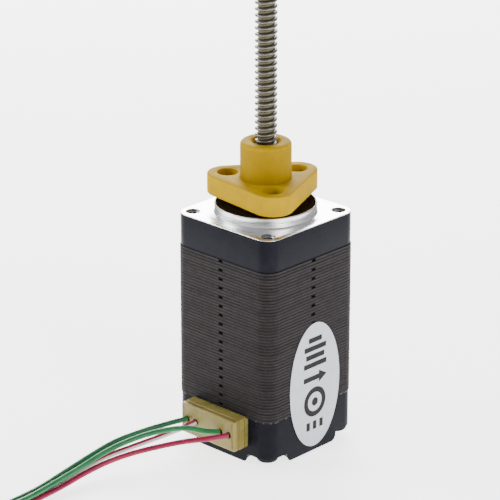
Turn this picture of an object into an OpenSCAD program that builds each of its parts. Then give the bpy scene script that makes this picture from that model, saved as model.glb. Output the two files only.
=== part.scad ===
// Size 8 hybrid stepper motor with a turning lead screw and a flanged nut.
// The origin is the middle of the rear face. The screw points along +Z, the
// connector faces -Y and the oval label is on the +X side.

/* [Motor body] */
// Width of the square lamination stack
body_w = 20.3; // [20.2:0.1:20.8]
// Radius of the body's four vertical corners
corner_r = 2.35; // [2.2:0.05:2.6]
// How far each end cap is set back from the stack's sides
cap_inset = 0.1; // [0.05:0.05:0.15]
// Height of the rear cap
rear_cap_h = 7.8; // [7.8:0.1:8.4]
// Number of laminations in the stack
laminations = 50; // [48:1:60]
// Thickness of one lamination
lamination_t = 0.5; // [0.5:0.01:0.55]
// Height of the front cap, below its mounting face
front_cap_h = 5.3; // [5.2:0.1:5.8]
// Diameter of the round pilot on the mounting face
pilot_d = 16; // [15.5:0.1:16]
// Height of the pilot
pilot_h = 1.6; // [1.5:0.1:2]
// Distance between neighbouring mounting holes
hole_spacing = 16; // [15.8:0.1:16.2]
// Diameter of the M2 mounting holes
mount_hole_d = 2; // [1.9:0.05:2.1]

/* [Lead screw and nut] */
// Outer diameter of the thread
screw_d = 3.5; // [3.4:0.1:4]
// Depth of the thread
thread_depth = 0.5; // [0.3:0.05:0.5]
// Travel of the nut for one turn of the screw
screw_lead = 1; // [1:0.5:2]
// Length of the screw above the mounting face
screw_reach = 75; // [70:1:90]
// Diameter of the shaft in the bearings and the rotor
journal_d = 3; // [3:0.1:3.2]
// Clearance between the thread's crests and the nut
nut_clearance = 0.05; // [0.03:0.01:0.08]
// Gap between the nut and the pilot with the nut right down
nut_gap = 0.75; // [0.5:0.05:1]
// Overall height of the nut
nut_h = 9.2; // [9:0.1:12]
// Thickness of the nut's flange
flange_t = 3.25; // [3:0.05:3.5]
// Outer diameter of the nut's barrel
barrel_d = 8; // [7.8:0.1:8.2]
// Diameter of the circle through the nut's three holes
nut_hole_circle = 12.7; // [12.6:0.1:12.8]
// Diameter of the nut's three holes
nut_hole_d = 3.2; // [3.1:0.05:3.3]
// Radius of the flange's three rounded corners
flange_corner_r = 3.2; // [3.1:0.05:3.3]
// Angle of the first nut hole
nut_angle = -37; // [-60:1:60]

/* [Rotor, stator and bearings] */
// Diameter of the rotor
rotor_d = 10.2; // [10:0.05:10.2]
// Gap between the rotor and the stator teeth
air_gap = 0.1; // [0.05:0.01:0.15]
// Teeth on each rotor cup
rotor_teeth = 50; // [50:1:50]
// Outer diameter of the ball bearings
bearing_d = 8; // [8:0.5:8]
// Width of the ball bearings
bearing_w = 4; // [4:0.1:4]
// Balls in each bearing
balls = 7; // [6:1:7]

/* [Connector and leads] */
// Width of the connector along X
connector_w = 11.5; // [11.4:0.1:11.6]
// Height of the connector
connector_h = 5.1; // [5:0.1:5.2]
// How far the plug's front stands out from the stack
connector_reach = 3; // [2.9:0.05:3.1]
// Distance between neighbouring pins
pin_pitch = 1.8; // [1.8:0.05:1.85]
// Diameter of each lead over its insulation
lead_d = 0.85; // [0.8:0.01:0.85]
// Middle radius of the tied coil of spare lead
coil_r = 12.6; // [12:0.1:13]

/* [Label] */
// Width of the oval label
label_w = 11.4; // [10:0.1:12]
// Height of the oval label
label_h = 21; // [18:0.5:21]

/* [Hidden] */
$fn = 64;

// Levels along the axis
cap_w = body_w - 2 * cap_inset;
stack_h = laminations * lamination_t;
stack_top = rear_cap_h + stack_h;
face_z = stack_top + front_cap_h;
pilot_top = face_z + pilot_h;
screw_top = face_z + screw_reach;
nut_z = pilot_top + nut_gap;

// Screws that hold the two caps together
screw_xy = hole_spacing / 2;
screw_hole_r = 1.2;
shank_r = 1.16;
head_r = 1.7;
head_t = 0.95;
recess_r = 3.1;
recess_h = 1.6;
user_thread = 3.6;

// Space inside the caps
cavity_r = 8.8;
cavity_floor = 4.4;
front_cavity = 3;
hub_r = bearing_d / 2 + 0.9;
seat_r = bearing_d / 2 + 0.01;

// Stator
poles = 8;
bore_r = rotor_d / 2 + air_gap;
shoe_r = bore_r + 1;
slot_r = 8.6;
pole_w = 1.9;
tooth_w = 0.34;
tooth_depth = 0.25;
liner_t = 0.15;
frame_t = 0.5;
coil_side = 1.0;
coil_in = shoe_r + 0.25;
coil_out = 7.9;
notch_step = 3;
notch_w = 0.9;
notch_h = 0.4;
notch_depth = 0.35;

// Bearings
rear_bearing_z = 2.6;
front_bearing_z = face_z - 3;
ball_r = 0.6;
ball_circle = 2.75;
race_gap = 0.45;
groove_r = ball_r + 0.01;
shield_t = 0.15;

// Rotor
cup_h = 5.2;
magnet_h = 1.4;
spacer_h = 0.6;
rotor_h = 4 * cup_h + 2 * magnet_h + spacer_h;
rotor_z = rear_cap_h + (stack_h - rotor_h) / 2;
rear_sleeve_z = rear_bearing_z + bearing_w;
rotor_top = rotor_z + rotor_h;

// Connector
wall_y = -body_w / 2;
plug_front = wall_y - connector_reach;
plug_lip = 1;
header_front = plug_front + plug_lip;
header_back = -8.95;
header_floor = -10.05;
connector_z = 5.5;
shroud_t = 0.55;
pin_w = 0.5;
pin_y = -7.7;
board_z = cavity_floor;
board_t = 0.8;
lead_columns = [-2.5, -1.5, 1.5, 2.5];

// Spare lead
coil_x = 4.9;
coil_y = -58;
coil_w = 3.8;
coil_h = 3.5;
coil_z = 0.2;
tie_w = 3;
tie_t = 0.18;

// The four leads' routes, from the plug to the coil
green_route = [[-4.5, plug_front, 5.5], [-5.8, -16.6, 5.3], [-7.4, -20.5, 4.8], [-8.8, -25, 4.1],
    [-9.2, -30, 3.2], [-9.3, -35, 2.3], [-9.2, -40, 1.6], [-9.1, -45, 1.4], [-9.1, -53.5, 1.4]];
red_white_route = [[-2.7, plug_front, 5.5], [-3.6, -15.8, 4.9], [-5.2, -18.8, 4], [-6.9, -23, 3.2],
    [-8.2, -27, 2.6], [-8.8, -31, 1.9], [-9, -36, 1.1], [-9.1, -41, 0.5], [-9.1, -46, 0.5], [-9.1, -53.5, 0.5]];
green_white_route = [[2.7, plug_front, 5.5], [1, -14.9, 5.7], [-1.3, -16, 5.8], [-3.3, -17.6, 5.6],
    [-5.4, -20.4, 5.1], [-7, -24, 4.4], [-7.8, -28, 3.7], [-8.1, -33, 2.7], [-8.3, -38, 1.9],
    [-8.2, -44, 1.4], [-8.2, -53.5, 1.4]];
red_route = [[4.5, plug_front, 5.5], [2.7, -16, 5.3], [0, -18.6, 4.8], [-2.6, -21.6, 4.1],
    [-4.9, -25, 3.4], [-6.6, -28.6, 2.6], [-7.6, -32.6, 1.7], [-8, -37, 0.9], [-8.2, -42, 0.5],
    [-8.2, -46, 0.5], [-8.2, -53.5, 0.5]];

// A square with rounded corners, as a 2-D shape
module rounded_square(w, r) {
    square([w - 2 * r, w], center = true);
    square([w, w - 2 * r], center = true);
    for (x = [-1, 1], y = [-1, 1])
        translate([x * (w / 2 - r), y * (w / 2 - r)]) circle(r);
}

// Its children at the body's four screw corners
module at_corners() {
    for (x = [-1, 1], y = [-1, 1])
        translate([x * screw_xy, y * screw_xy, 0]) children();
}

// A ring between two radii, from z upwards
module ring(outer, inner, h, z = 0) {
    translate([0, 0, z]) difference() {
        cylinder(r = outer, h = h);
        translate([0, 0, -1]) cylinder(r = inner, h = h + 2);
    }
}

module rear_cap() {
    hub_top = rear_bearing_z + bearing_w;
    color([0.13, 0.13, 0.15]) difference() {
        linear_extrude(rear_cap_h) rounded_square(cap_w, corner_r);
        translate([0, 0, cavity_floor])
            ring(cavity_r, hub_r, rear_cap_h);
        translate([0, 0, hub_top]) cylinder(r = hub_r + 0.5, h = rear_cap_h);
        translate([0, 0, rear_bearing_z - 0.6]) cylinder(r = seat_r, h = rear_cap_h);
        translate([0, 0, -0.01]) cylinder(r = 3, h = 0.31);
        at_corners() {
            translate([0, 0, -1]) cylinder(r = recess_r, h = 1 + recess_h);
            cylinder(r = screw_hole_r, h = rear_cap_h + 1);
        }
        translate([-connector_w / 2 - 0.05, -cap_w / 2 - 1, connector_z - connector_h / 2 - 0.05])
            cube([connector_w + 0.1, cap_w / 2 + 1 + header_back + 0.05, rear_cap_h]);
        translate([-connector_w / 2 + 0.4, header_back - 0.1, cavity_floor])
            cube([connector_w - 0.8, 2, rear_cap_h]);
    }
}

// One lamination's outline, with the slots between the poles cut out
module lamination() {
    difference() {
        rounded_square(body_w, corner_r);
        circle(bore_r);
        difference() {
            circle(slot_r);
            circle(shoe_r);
            for (i = [0:poles - 1]) rotate(i * 360 / poles)
                translate([0, -pole_w / 2]) square([slot_r + 1, pole_w]);
        }
        for (i = [0:poles - 1]) rotate((i + 0.5) * 360 / poles)
            translate([bore_r - 1, -0.5]) square([shoe_r - bore_r + 1.4, 1]);
        for (i = [0:poles - 1], k = [-1.5:1:1.5]) rotate(i * 360 / poles + k * 7.2)
            translate([bore_r - 0.1, -tooth_w / 2]) square([tooth_depth + 0.1, tooth_w]);
        at_corners() circle(screw_hole_r);
    }
}

module stator_stack() {
    color([0.22, 0.19, 0.18]) translate([0, 0, rear_cap_h]) difference() {
        linear_extrude(stack_h) lamination();
        for (side = [0:3], k = [0:notch_step:laminations - 1])
            rotate(side * 90)
                translate([body_w / 2 - notch_depth, -notch_w / 2,
                    stack_h - (k + 0.5) * lamination_t - notch_h / 2])
                    cube([1, notch_w, notch_h]);
    }
}

module front_cap() {
    color([0.14, 0.14, 0.16]) difference() {
        union() {
            translate([0, 0, stack_top]) linear_extrude(front_cap_h) rounded_square(cap_w, corner_r);
            translate([0, 0, face_z]) cylinder(r = pilot_d / 2, h = pilot_h);
        }
        translate([0, 0, stack_top - 1]) difference() {
            cylinder(r = cavity_r, h = 1 + front_cavity);
            translate([0, 0, front_bearing_z - stack_top + 1]) cylinder(r = hub_r, h = 9);
        }
        translate([0, 0, stack_top - 1]) cylinder(r = seat_r, h = front_bearing_z + bearing_w - stack_top + 1);
        cylinder(r = bearing_d / 2 - 1, h = pilot_top + 1);
        at_corners() cylinder(r = mount_hole_d / 2, h = face_z + 1);
        at_corners() cylinder(r = screw_hole_r, h = face_z - user_thread + 0.5);
    }
}

module body_screws() {
    length = face_z - user_thread - recess_h;
    color([0.1, 0.1, 0.11]) at_corners() difference() {
        union() {
            translate([0, 0, recess_h]) cylinder(r = shank_r, h = length);
            translate([0, 0, recess_h - head_t]) cylinder(r = head_r, h = head_t);
        }
        for (a = [0, 90]) rotate(a)
            translate([-0.9, -0.17, recess_h - head_t - 1]) cube([1.8, 0.34, 1.5]);
    }
}

// A plastic winding frame for half the stack: an end ring with a sleeve on each pole
module insulator() {
    sleeve_h = stack_h / 2 - 0.05;
    ring(slot_r - 0.05, shoe_r + 2.0, frame_t, -frame_t);
    for (i = [0:poles - 1]) rotate(i * 360 / poles) {
        translate([shoe_r + 0.05, -pole_w / 2 - liner_t, -frame_t])
            cube([2.1, pole_w + 2 * liner_t, frame_t]);
        for (s = [-1, 1])
            translate([shoe_r + 0.05, s * (pole_w + liner_t) / 2 - liner_t / 2, -frame_t])
                cube([2.1, liner_t, frame_t + sleeve_h]);
    }
}

module rear_insulator() {
    color([0.85, 0.83, 0.76]) translate([0, 0, rear_cap_h]) insulator();
}

module front_insulator() {
    color([0.85, 0.83, 0.76]) translate([0, 0, stack_top]) mirror([0, 0, 1]) insulator();
}

// The windings on every second pole, starting at the given one
module phase_coils(first) {
    inner = pole_w + 2 * liner_t + 0.02;
    inner_h = stack_h + 2 * frame_t + 0.02;
    outer_h = inner_h + 2 * coil_side;
    for (i = [first:2:poles - 1]) rotate(i * 360 / poles)
        translate([coil_in, 0, rear_cap_h + stack_h / 2]) difference() {
            translate([0, -inner / 2 - coil_side, -outer_h / 2])
                cube([coil_out - coil_in, inner + 2 * coil_side, outer_h]);
            translate([-1, -inner / 2, -inner_h / 2])
                cube([coil_out - coil_in + 2, inner, inner_h]);
        }
}

module phase_a_coils() { color([0.72, 0.38, 0.16]) phase_coils(0); }

module phase_b_coils() { color([0.78, 0.45, 0.2]) phase_coils(1); }

// Ball bearing pieces, each standing on z
module race_groove() {
    translate([0, 0, bearing_w / 2]) rotate_extrude() translate([ball_circle, 0]) circle(groove_r);
}

module bearing_outer(z) {
    translate([0, 0, z]) difference() {
        ring(bearing_d / 2, ball_circle + race_gap, bearing_w);
        race_groove();
    }
}

module bearing_inner(z) {
    translate([0, 0, z]) difference() {
        ring(ball_circle - race_gap, journal_d / 2, bearing_w);
        race_groove();
    }
}

module bearing_balls(z) {
    for (i = [0:balls - 1]) rotate(i * 360 / balls)
        translate([ball_circle, 0, z + bearing_w / 2]) sphere(ball_r);
}

module bearing_cage(z) {
    pocket = 2 * ball_r + 0.04;
    translate([0, 0, z + bearing_w / 2]) difference() {
        ring(ball_circle + 0.25, ball_circle - 0.25, 1.6, -0.8);
        for (i = [0:balls - 1]) rotate(i * 360 / balls)
            translate([1, -pocket / 2, -pocket / 2]) cube([ball_circle, pocket, pocket]);
    }
}

module bearing_shields(z) {
    for (end = [0, bearing_w - shield_t])
        ring(ball_circle + race_gap, ball_circle - race_gap + 0.1, shield_t, z + end);
}

module rear_bearing_outer() { color([0.75, 0.76, 0.78]) bearing_outer(rear_bearing_z); }

module rear_bearing_inner() { color([0.78, 0.79, 0.8]) bearing_inner(rear_bearing_z); }

module rear_bearing_balls() { color([0.85, 0.86, 0.88]) bearing_balls(rear_bearing_z); }

module rear_bearing_cage() { color([0.66, 0.56, 0.3]) bearing_cage(rear_bearing_z); }

module rear_bearing_shields() { color([0.7, 0.71, 0.72]) bearing_shields(rear_bearing_z); }

module front_bearing_outer() { color([0.75, 0.76, 0.78]) bearing_outer(front_bearing_z); }

module front_bearing_inner() { color([0.78, 0.79, 0.8]) bearing_inner(front_bearing_z); }

module front_bearing_balls() { color([0.85, 0.86, 0.88]) bearing_balls(front_bearing_z); }

module front_bearing_cage() { color([0.66, 0.56, 0.3]) bearing_cage(front_bearing_z); }

module front_bearing_shields() { color([0.7, 0.71, 0.72]) bearing_shields(front_bearing_z); }

// A spring washer that presses the rear bearing forwards
module wave_washer() {
    steps = 60;
    inner = 3.0;
    outer = 3.85;
    t = 0.15;
    wave = (0.58 - t) / 2;
    points = [for (i = [0:steps - 1]) let (a = i * 360 / steps, z = rear_bearing_z - 0.3 + wave * sin(3 * a))
        for (c = [[inner, -t / 2], [outer, -t / 2], [outer, t / 2], [inner, t / 2]])
            [c[0] * cos(a), c[0] * sin(a), z + c[1]]];
    faces = [for (i = [0:steps - 1], k = [0:3]) let (n = (i + 1) % steps, m = (k + 1) % 4)
        [4 * i + k, 4 * i + m, 4 * n + m, 4 * n + k]];
    color([0.7, 0.71, 0.72]) polyhedron(points, faces);
}

// The screw with its thread as ring grooves, and its plain shaft through the rotor
module lead_screw() {
    r = screw_d / 2;
    core = r - thread_depth;
    start = front_bearing_z + bearing_w + 0.05;
    thread_z = start + 1.2;
    turns = floor((screw_top - 0.6 - thread_z) / screw_lead);
    crest = screw_lead * 0.3;
    flank = screw_lead * 0.2;
    profile = concat([[0, rear_bearing_z - 0.1], [journal_d / 2, rear_bearing_z - 0.1],
        [journal_d / 2, start], [r, start]],
        [for (i = [0:turns - 1]) let (z = thread_z + i * screw_lead)
            for (p = [[r, 0], [core, flank], [core, screw_lead - crest - flank], [r, screw_lead - crest]])
                [p[0], z + p[1]]],
        [[r, screw_top - 0.4], [r - 0.4, screw_top], [0, screw_top]]);
    color([0.62, 0.6, 0.56]) rotate_extrude() polygon(profile);
}

// A toothed rotor cup standing on z, turned by part of a tooth
module rotor_cup(z, turn) {
    r = rotor_d / 2;
    step = 360 / rotor_teeth;
    outline = [for (i = [0:rotor_teeth - 1], p = [[r, -0.22], [r, 0.22], [r - 0.35, 0.26], [r - 0.35, 0.74]])
        [p[0] * cos((i + p[1]) * step), p[0] * sin((i + p[1]) * step)]];
    translate([0, 0, z]) rotate(turn * step) linear_extrude(cup_h) difference() {
        polygon(outline);
        circle(journal_d / 2);
    }
}

module rotor_cup_1() { color([0.45, 0.45, 0.47]) rotor_cup(rotor_z, 0); }

module rotor_cup_2() { color([0.45, 0.45, 0.47]) rotor_cup(rotor_z + cup_h + magnet_h, 0.5); }

module rotor_cup_3() {
    color([0.45, 0.45, 0.47]) rotor_cup(rotor_z + 2 * cup_h + magnet_h + spacer_h, 0.5);
}

module rotor_cup_4() { color([0.45, 0.45, 0.47]) rotor_cup(rotor_top - cup_h, 0); }

module rotor_magnet_1() {
    color([0.3, 0.3, 0.33]) ring(4.4, journal_d / 2, magnet_h, rotor_z + cup_h);
}

module rotor_magnet_2() {
    color([0.3, 0.3, 0.33]) ring(4.4, journal_d / 2, magnet_h, rotor_top - cup_h - magnet_h);
}

module rotor_spacer() {
    color([0.6, 0.6, 0.58]) ring(4, journal_d / 2, spacer_h, rotor_z + 2 * cup_h + magnet_h);
}

module rear_sleeve() {
    color([0.8, 0.68, 0.35]) ring(2.1, journal_d / 2, rotor_z - rear_sleeve_z, rear_sleeve_z);
}

module front_sleeve() {
    color([0.8, 0.68, 0.35]) ring(2.1, journal_d / 2, front_bearing_z - rotor_top, rotor_top);
}

// The flange's outline: a triangle with its three corners rounded around the holes
module flange_outline() {
    c = nut_hole_circle / 2;
    r = flange_corner_r;
    polygon([for (i = [0:2], s = [-60, 60]) let (a = i * 120)
        [c * cos(a) + r * cos(a + s), c * sin(a) + r * sin(a + s)]]);
    for (i = [0:2]) rotate(i * 120) translate([c, 0]) circle(r);
}

module nut() {
    bore_r = screw_d / 2 + nut_clearance;
    lead_in = 0.5;
    color([0.85, 0.66, 0.16]) translate([0, 0, nut_z]) rotate(nut_angle) difference() {
        union() {
            linear_extrude(flange_t) flange_outline();
            cylinder(r = barrel_d / 2, h = nut_h - 0.5);
            translate([0, 0, nut_h - 0.5]) cylinder(r1 = barrel_d / 2, r2 = barrel_d / 2 - 0.4, h = 0.5);
        }
        translate([0, 0, -1]) cylinder(r = bore_r, h = nut_h + 2);
        translate([0, 0, nut_h - lead_in]) cylinder(r1 = bore_r, r2 = bore_r + lead_in + 0.1, h = lead_in + 0.1);
        for (i = [0:2]) rotate(i * 120)
            translate([nut_hole_circle / 2, 0, -1]) cylinder(r = nut_hole_d / 2, h = flange_t + 2);
    }
}

// A C-shaped board around the rear bearing, open away from the connector
module circuit_board() {
    hole = pin_w + 0.1;
    color([0.12, 0.36, 0.2]) difference() {
        ring(cavity_r - 0.05, hub_r + 0.3, board_t, board_z);
        translate([-2, 0, board_z - 1]) cube([4, 20, board_t + 2]);
        translate([-connector_w, header_back - 10, board_z - 1]) cube([2 * connector_w, 10.05, board_t + 2]);
        for (i = [-2.5:1:2.5]) translate([i * pin_pitch - hole / 2, pin_y - hole / 2, board_z - 1])
            cube([hole, hole, board_t + 2]);
    }
}

module connector_header() {
    w = connector_w;
    h = connector_h;
    z = connector_z - h / 2;
    color([0.72, 0.67, 0.46]) difference() {
        union() {
            translate([-w / 2, header_front, z]) cube([w, wall_y - 0.05 - header_front, h]);
            translate([-w / 2, wall_y - 0.06, z]) cube([w, header_back - wall_y + 0.06, rear_cap_h - 0.05 - z]);
        }
        translate([-w / 2 + shroud_t, header_front - 1, z + shroud_t])
            cube([w - 2 * shroud_t, header_floor - header_front + 1, h - 2 * shroud_t]);
        for (s = [-1, 1]) translate([s * w / 2 - 0.15, header_front + 1.35, z - 1])
            cube([0.3, 0.15, h + 2]);
        for (i = [-2.5:1:2.5]) translate([i * pin_pitch - pin_w / 2, -12, connector_z - pin_w / 2])
            cube([pin_w, 5, pin_w]);
    }
}

module header_pins() {
    drop = connector_z + pin_w / 2 - board_z;
    color([0.86, 0.74, 0.4]) for (i = [-2.5:1:2.5]) translate([i * pin_pitch - pin_w / 2, 0, 0]) {
        translate([0, header_front + 0.4, connector_z - pin_w / 2])
            cube([pin_w, pin_y + pin_w / 2 - header_front - 0.4, pin_w]);
        translate([0, pin_y - pin_w / 2, board_z + 0.1]) cube([pin_w, pin_w, drop - 0.1]);
    }
}

module plug_housing() {
    w = connector_w;
    h = connector_h;
    core_w = w - 2 * shroud_t - 0.1;
    core_h = h - 2 * shroud_t - 0.1;
    color([0.78, 0.73, 0.52]) difference() {
        union() {
            translate([-w / 2, plug_front, connector_z - h / 2]) cube([w, plug_lip, h]);
            translate([-core_w / 2, header_front - 0.01, connector_z - core_h / 2])
                cube([core_w, header_floor - 0.05 - header_front, core_h]);
        }
        for (i = [-2.5:1:2.5]) translate([i * pin_pitch, 0, connector_z]) {
            translate([-0.5, plug_front + 0.5, -0.5]) cube([1, 9, 1]);
            translate([0, plug_front - 1, 0]) rotate([-90, 0, 0]) cylinder(r = lead_d / 2 + 0.1, h = 2);
        }
    }
}

module crimp_terminals() {
    y = plug_front + 0.65;
    color([0.82, 0.82, 0.8]) for (i = lead_columns)
        translate([i * pin_pitch - 0.42, y, connector_z - 0.42]) difference() {
            cube([0.84, header_floor - 0.15 - y, 0.84]);
            translate([0.14, 0.25, 0.14]) cube([0.56, 9, 0.56]);
        }
}

module label() {
    color([0.8, 0.81, 0.82]) translate([body_w / 2, 0.5, 11.5]) rotate([90, 0, 90]) linear_extrude(0.08)
        polygon([for (a = [0:5:355]) [label_w / 2 * cos(a), label_h / 2 * sin(a)]]);
}

// A point on the smooth curve through a route, with t from 0 to 1
function mix(p0, p1, p2, p3, u) = 0.5 * (2 * p1 + (p2 - p0) * u
    + (2 * p0 - 5 * p1 + 4 * p2 - p3) * u * u + (3 * p1 - p0 - 3 * p2 + p3) * u * u * u);
function route_point(route, t) = let (last = len(route) - 1, s = min(t, 0.9999) * last, i = floor(s))
    mix(route[max(i - 1, 0)], route[i], route[i + 1], route[min(i + 2, last)], s - i);
function unit(v) = v / norm(v);

// A tube along a route, with 8 sides
module tube(route, d, rings) {
    sides = 8;
    points = [for (i = [0:rings - 1]) let (
            t = i / (rings - 1),
            p = route_point(route, t),
            along = unit(route_point(route, min(t + 0.01, 1)) - route_point(route, max(t - 0.01, 0))),
            side = i == 0 ? [1, 0, 0] : unit(cross(along, [0, 0, 1])),
            up = i == 0 ? [0, 0, 1] : cross(side, along))
        for (k = [0:sides - 1]) let (a = (k + 0.5) * 360 / sides)
            p + d / 2 * (cos(a) * side * (i == 0 ? -1 : 1) + sin(a) * up)];
    faces = concat([[for (k = [0:sides - 1]) k]],
        [for (i = [0:rings - 2], k = [0:sides - 1]) let (m = (k + 1) % sides)
            [i * sides + k, (i + 1) * sides + k, (i + 1) * sides + m, i * sides + m]],
        [[for (k = [0:sides - 1]) rings * sides - 1 - k]]);
    polyhedron(points, faces);
}

module lead_green() { color([0.2, 0.5, 0.32]) tube(green_route, lead_d, 20); }

module lead_red_white() { color([0.68, 0.3, 0.38]) tube(red_white_route, lead_d, 20); }

module lead_green_white() { color([0.28, 0.58, 0.4]) tube(green_white_route, lead_d, 20); }

module lead_red() { color([0.65, 0.2, 0.35]) tube(red_route, lead_d, 20); }

// The spare lead, wound into one flat ring
module lead_coil() {
    color([0.35, 0.45, 0.35]) translate([coil_x, coil_y, coil_z]) rotate_extrude()
        translate([coil_r - coil_w / 2, 0]) {
            translate([0.6, 0]) square([coil_w - 1.2, coil_h]);
            translate([0, 0.6]) square([coil_w, coil_h - 1.2]);
            for (x = [0.6, coil_w - 0.6], y = [0.6, coil_h - 0.6]) translate([x, y]) circle(0.6);
        }
}

// A flat band around the coil
module coil_tie() {
    color([0.15, 0.15, 0.15]) translate([coil_x + coil_r, coil_y, 0]) difference() {
        translate([-coil_w / 2 - tie_t - 0.3, -tie_w / 2, 0])
            cube([coil_w + 2 * tie_t + 0.6, tie_w, coil_z + coil_h + 0.02 + tie_t]);
        translate([-coil_w / 2 - 0.3, -tie_w, tie_t])
            cube([coil_w + 0.6, 2 * tie_w, coil_z + coil_h + 0.02 - tie_t]);
    }
}

rear_cap();
stator_stack();
front_cap();
body_screws();
rear_insulator();
front_insulator();
phase_a_coils();
phase_b_coils();
rear_bearing_outer();
rear_bearing_inner();
rear_bearing_balls();
rear_bearing_cage();
rear_bearing_shields();
wave_washer();
front_bearing_outer();
front_bearing_inner();
front_bearing_balls();
front_bearing_cage();
front_bearing_shields();
lead_screw();
rotor_cup_1();
rotor_cup_2();
rotor_cup_3();
rotor_cup_4();
rotor_magnet_1();
rotor_magnet_2();
rotor_spacer();
rear_sleeve();
front_sleeve();
nut();
circuit_board();
connector_header();
header_pins();
plug_housing();
crimp_terminals();
label();
lead_green();
lead_red_white();
lead_green_white();
lead_red();
lead_coil();
coil_tie();
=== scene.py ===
"""Stepper motor with lead screw: the visual model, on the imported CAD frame.

Every length is in millimetres and becomes metres through MM. Each piece has its own
function, in the order camera, leads, motor, screw, nut, connector, label, inner parts.
"""
import math
import random

import bmesh
import bpy
from mathutils import Matrix, Vector
from mathutils.geometry import tessellate_polygon


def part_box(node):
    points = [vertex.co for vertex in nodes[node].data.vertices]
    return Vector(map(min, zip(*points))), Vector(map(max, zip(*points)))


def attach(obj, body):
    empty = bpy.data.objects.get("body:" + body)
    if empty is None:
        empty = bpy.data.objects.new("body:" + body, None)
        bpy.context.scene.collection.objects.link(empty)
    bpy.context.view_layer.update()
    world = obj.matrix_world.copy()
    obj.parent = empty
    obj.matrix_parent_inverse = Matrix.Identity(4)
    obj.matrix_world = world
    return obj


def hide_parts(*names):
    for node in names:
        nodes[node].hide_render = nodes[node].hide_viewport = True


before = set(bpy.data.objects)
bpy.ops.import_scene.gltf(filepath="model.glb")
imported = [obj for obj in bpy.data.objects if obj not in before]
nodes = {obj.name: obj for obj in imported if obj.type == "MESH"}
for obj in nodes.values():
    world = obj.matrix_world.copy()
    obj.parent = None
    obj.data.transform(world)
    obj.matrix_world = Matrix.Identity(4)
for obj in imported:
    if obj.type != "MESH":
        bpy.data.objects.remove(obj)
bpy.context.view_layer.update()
MM = 0.001

# ---- places from the frame


def span(node, axis):
    """(low, high) of a CAD node along an axis, in millimetres."""
    low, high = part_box(node)
    return low[axis] / MM, high[axis] / MM


def spans(node):
    """span on each of the three axes."""
    return [span(node, axis) for axis in range(3)]


CAP_W = span("rear_cap", 0)[1] * 2
BODY_W = span("stator_stack", 0)[1] * 2
STACK_Z, STACK_TOP = span("stator_stack", 2)
PILOT_TOP = span("front_cap", 2)[1]
FACE_Z = PILOT_TOP - 1.6
SCREW_BOTTOM, SCREW_TOP = span("lead_screw", 2)
NUT_Z, NUT_TOP = span("nut", 2)
CORNER_R = 2.35
PILOT_R = 8.0
HOLE_XY = 8.0
NUT_FLANGE = 3.25
NUT_ANGLE = -37.0
HOLE_RING = 6.35
FLANGE_CORNER = 3.2
BODY_SCREW_HOLE_R = 1.2
BODY_SCREW_HOLE_TOP = 35.0
THREAD_HOLE_R = 1.0
BEARING_SEAT_R = 4.01
HUB_R = 4.9
CAVITY_R = 8.8
SCREW_R = span("lead_screw", 0)[1]
THREAD_DEPTH = 0.5
LEAD = 1.0
JOURNAL_R = 1.5
LAMINATION = 0.5
LEAD_D = 0.85
CONNECTOR_Z = 5.5
PIN_COLUMNS = [(k - 2.5) * 1.8 for k in range(6)]
LEAD_COLUMNS = (0, 1, 4, 5)

# ---- camera and light

CAMERA_AZIMUTH = 43.6
CAMERA_HEIGHT = 21.27
CAMERA_DISTANCE = 413.3
CAMERA_AIM = Vector((-3.377, 0.0, 30.61))
CAMERA_LENS = 189.2
SENSOR_WIDTH = 36.0


def add_camera():
    """A long lens at the photograph's angle, aimed at the middle of its frame."""
    a = math.radians(CAMERA_AZIMUTH)
    e = math.radians(CAMERA_HEIGHT)
    back = Vector((math.sin(a) * math.cos(e), -math.cos(a) * math.cos(e), math.sin(e)))
    data = bpy.data.cameras.new("camera")
    data.lens = CAMERA_LENS
    data.sensor_width = SENSOR_WIDTH
    data.clip_start = 0.01
    data.clip_end = 10.0
    camera = new_object("camera", data)
    camera.location = (CAMERA_AIM + back * CAMERA_DISTANCE) * MM
    camera.rotation_euler = (-back).to_track_quat("-Z", "Y").to_euler()
    bpy.context.scene.camera = camera


def area_light(name, place, target, size, power):
    """A square soft box at place, in millimetres, turned towards target."""
    data = bpy.data.lights.new(name, "AREA")
    data.shape = "SQUARE"
    data.size = size * MM
    data.energy = power
    light = new_object(name, data)
    light.location = Vector(place) * MM
    aim = Vector(target) * MM - light.location
    light.rotation_euler = aim.to_track_quat("-Z", "Y").to_euler()


def add_lights():
    """A pale sky, a key box on the left, a fill on the right and a box behind for the machined face."""
    world = bpy.data.worlds.new("studio")
    world.use_nodes = True
    background = world.node_tree.nodes["Background"]
    background.inputs["Color"].default_value = (0.96, 0.98, 1.0, 1.0)
    background.inputs["Strength"].default_value = 0.62
    bpy.context.scene.world = world
    middle = (0, 0, 30)
    area_light("key", (-420, -330, 330), middle, 300, 3.4)
    area_light("fill", (520, -90, 220), middle, 260, 1.9)
    area_light("back", (-450, 480, 330), middle, 460, 14.0)


def add_floor():
    """A plain pale floor, just below the motor's rear face."""
    half = 3000 * MM
    mesh = bpy.data.meshes.new("floor")
    corners = [(-half, -half, 0), (half, -half, 0), (half, half, 0), (-half, half, 0)]
    mesh.from_pydata(corners, [], [(0, 1, 2, 3)])
    floor = new_object("floor", mesh, [floor_material()])
    floor.location.z = -0.02 * MM


# ---- node helpers


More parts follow.
